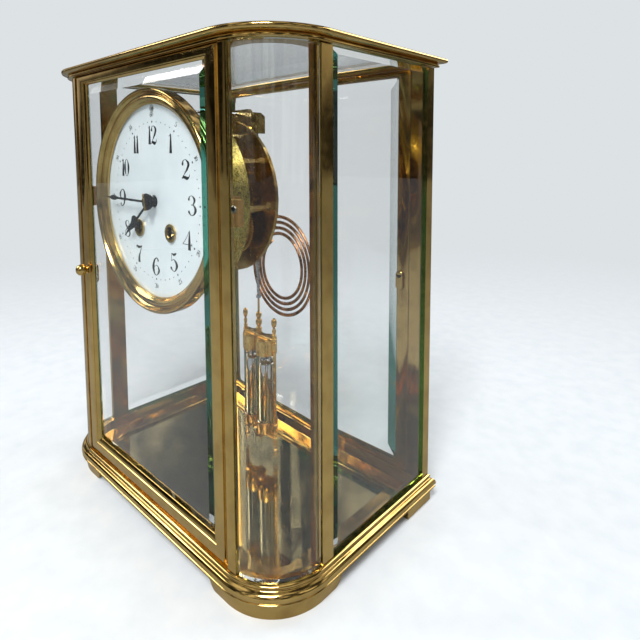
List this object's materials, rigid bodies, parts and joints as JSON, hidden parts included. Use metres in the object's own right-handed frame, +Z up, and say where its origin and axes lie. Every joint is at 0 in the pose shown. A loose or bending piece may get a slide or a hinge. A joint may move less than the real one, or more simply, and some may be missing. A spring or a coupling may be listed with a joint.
{
  "type": "crystal regulator clock",
  "caption": "Glazed brass mantel clock with rounded front corners, hinged front and rear doors, a round enamel dial, an open striking movement and a mercury pendulum.",
  "frame": {"origin": "centre of the bounding box's base, on the surface that the feet stand on", "axes": "+Z up, -Y out of the dial towards the person who reads it, +X to that person's right"},
  "size_m": [0.1924, 0.1226, 0.2297],
  "materials": {
    "brass": "polished and lacquered, with light tarnish in the hollows",
    "train_brass": "satin movement brass",
    "steel": "polished steel",
    "black_steel": "blackened steel",
    "glass": "clear, bevelled edges",
    "enamel": "fired white enamel on copper",
    "mercury": "liquid metal",
    "gong_steel": "coppered gong steel"
  },
  "bodies": {
    "case": {"base_moulding": "brass", "floor_plate": "brass", "foot_front_left": "brass", "foot_front_right": "brass", "foot_rear_left": "brass", "foot_rear_right": "brass", "front_post_left": "brass", "front_post_right": "brass", "side_post_left": "brass", "side_post_right": "brass", "rear_post_left": "brass", "rear_post_right": "brass", "corner_glass_left": "glass", "corner_glass_right": "glass", "side_glass_left": "glass", "side_glass_right": "glass", "top_frame": "brass", "top_glass": "glass", "movement_bracket_left": "brass", "movement_bracket_right": "brass", "movement_ring": "train_brass", "bezel": "brass", "dial": "enamel", "winding_ferrule_left": "brass", "winding_ferrule_right": "brass", "front_plate": "train_brass", "back_plate": "train_brass", "suspension_cock": "train_brass", "gong": "gong_steel", "gong_stand": "brass"},
    "front_door": {"front_door_frame": "brass", "front_door_glass": "glass"},
    "front_door_knob": {"front_door_knob": "brass"},
    "rear_door": {"rear_door_frame": "brass", "rear_door_glass": "glass"},
    "rear_door_knob": {"rear_door_knob": "brass"},
    "minute_hand": {"minute_hand": "black_steel", "hand_nut": "steel"},
    "minute_wheel": {"minute_wheel": "train_brass"},
    "hour_hand": {"hour_hand": "black_steel"},
    "winding_arbor_left": {"winding_arbor_left": "steel"},
    "winding_arbor_right": {"winding_arbor_right": "steel"},
    "going_barrel": {"going_barrel": "train_brass"},
    "intermediate_wheel": {"intermediate_wheel": "train_brass"},
    "centre_wheel": {"centre_wheel": "train_brass"},
    "third_wheel": {"third_wheel": "train_brass"},
    "escape_wheel": {"escape_wheel": "train_brass"},
    "anchor": {"anchor": "steel"},
    "strike_barrel": {"strike_barrel": "train_brass"},
    "strike_wheel": {"strike_wheel": "train_brass"},
    "fly": {"fly": "train_brass"},
    "hammer": {"hammer": "steel"},
    "regulating_arbor": {"regulating_arbor": "steel"},
    "pendulum": {"pendulum_rod": "steel", "pendulum_frame": "brass", "vial_left": "glass", "vial_right": "glass", "mercury_left": "mercury", "mercury_right": "mercury"},
    "rating_nut": {"rating_nut": "brass"}
  },
  "joints": [
    {"name": "front_door_hinge", "type": "hinge", "parent": "case", "child": "front_door", "pos_m": [0.0617, -0.0531, 0.11985], "axis": [0, 0, 1], "range_deg": [0, 90]},
    {"name": "front_knob_turn", "type": "hinge", "parent": "front_door", "child": "front_door_knob", "pos_m": [-0.0584, -0.0551, 0.1204], "axis": [0, 1, 0], "range_deg": [0, 90]},
    {"name": "rear_door_hinge", "type": "hinge", "parent": "case", "child": "rear_door", "pos_m": [-0.0778, 0.0531, 0.11985], "axis": [0, 0, 1], "range_deg": [0, 90]},
    {"name": "rear_knob_turn", "type": "hinge", "parent": "rear_door", "child": "rear_door_knob", "pos_m": [0.0748, 0.0551, 0.1204], "axis": [0, -1, 0], "range_deg": [0, 90]},
    {"name": "minute_hand_turn", "type": "hinge", "parent": "case", "child": "minute_hand", "pos_m": [0, -0.0041, 0.1608], "axis": [0, 1, 0], "continuous": true},
    {"name": "minute_wheel_turn", "type": "hinge", "parent": "case", "child": "minute_wheel", "pos_m": [0, -0.0041, 0.15], "axis": [0, 1, 0], "continuous": true},
    {"name": "hour_hand_turn", "type": "hinge", "parent": "case", "child": "hour_hand", "pos_m": [0, -0.0041, 0.1608], "axis": [0, 1, 0], "continuous": true},
    {"name": "right_winding", "type": "hinge", "parent": "case", "child": "winding_arbor_right", "pos_m": [0.0142, -0.0041, 0.1468], "axis": [0, 1, 0], "continuous": true},
    {"name": "left_winding", "type": "hinge", "parent": "case", "child": "winding_arbor_left", "pos_m": [-0.0142, -0.0041, 0.1468], "axis": [0, 1, 0], "continuous": true},
    {"name": "escape_wheel_turn", "type": "hinge", "parent": "case", "child": "escape_wheel", "pos_m": [0, -0.0041, 0.1823], "axis": [0, 1, 0], "continuous": true},
    {"name": "third_wheel_turn", "type": "hinge", "parent": "case", "child": "third_wheel", "pos_m": [0.00378, -0.0041, 0.17261], "axis": [0, 1, 0], "continuous": true},
    {"name": "centre_wheel_turn", "type": "hinge", "parent": "case", "child": "centre_wheel", "pos_m": [0, -0.0041, 0.1608], "axis": [0, 1, 0], "continuous": true},
    {"name": "intermediate_wheel_turn", "type": "hinge", "parent": "case", "child": "intermediate_wheel", "pos_m": [0.0136, -0.0041, 0.1618], "axis": [0, 1, 0], "continuous": true},
    {"name": "going_barrel_turn", "type": "hinge", "parent": "case", "child": "going_barrel", "pos_m": [0.0142, -0.0041, 0.1468], "axis": [0, 1, 0], "continuous": true},
    {"name": "fly_turn", "type": "hinge", "parent": "case", "child": "fly", "pos_m": [-0.01639, -0.0041, 0.17223], "axis": [0, 1, 0], "continuous": true},
    {"name": "strike_wheel_turn", "type": "hinge", "parent": "case", "child": "strike_wheel", "pos_m": [-0.0136, -0.0041, 0.1618], "axis": [0, 1, 0], "continuous": true},
    {"name": "strike_barrel_turn", "type": "hinge", "parent": "case", "child": "strike_barrel", "pos_m": [-0.0142, -0.0041, 0.1468], "axis": [0, 1, 0], "continuous": true},
    {"name": "hammer_lift", "type": "hinge", "parent": "case", "child": "hammer", "pos_m": [-0.03, -0.0041, 0.1638], "axis": [0, 1, 0], "range_deg": [0, 12]},
    {"name": "regulating_arbor_turn", "type": "hinge", "parent": "case", "child": "regulating_arbor", "pos_m": [0, -0.0041, 0.2048], "axis": [0, 1, 0], "continuous": true},
    {"name": "pendulum_swing", "type": "hinge", "parent": "case", "child": "pendulum", "pos_m": [0, 0.0169, 0.193], "axis": [0, 1, 0], "range_deg": [-3, 3]},
    {"name": "anchor_rock", "type": "hinge", "parent": "case", "child": "anchor", "pos_m": [0, -0.0041, 0.193], "axis": [0, 1, 0], "range_deg": [-3.2, 3.2]},
    {"name": "rating_nut_turn", "type": "hinge", "parent": "pendulum", "child": "rating_nut", "pos_m": [0, 0.0169, 0.0202], "axis": [0, 0, 1], "continuous": true}
  ],
  "couplings": [
    {"joint": "minute_wheel_turn", "follows": "minute_hand_turn", "ratio": -0.33333},
    {"joint": "hour_hand_turn", "follows": "minute_hand_turn", "ratio": 0.083333},
    {"joint": "escape_wheel_turn", "follows": "third_wheel_turn", "ratio": -12},
    {"joint": "centre_wheel_turn", "follows": "third_wheel_turn", "ratio": -0.090909},
    {"joint": "intermediate_wheel_turn", "follows": "third_wheel_turn", "ratio": 0.015152},
    {"joint": "going_barrel_turn", "follows": "third_wheel_turn", "ratio": -0.0020202},
    {"joint": "fly_turn", "follows": "strike_wheel_turn", "ratio": -8},
    {"joint": "strike_barrel_turn", "follows": "strike_wheel_turn", "ratio": -0.13333},
    {"joint": "anchor_rock", "follows": "pendulum_swing", "ratio": 1}
  ]
}
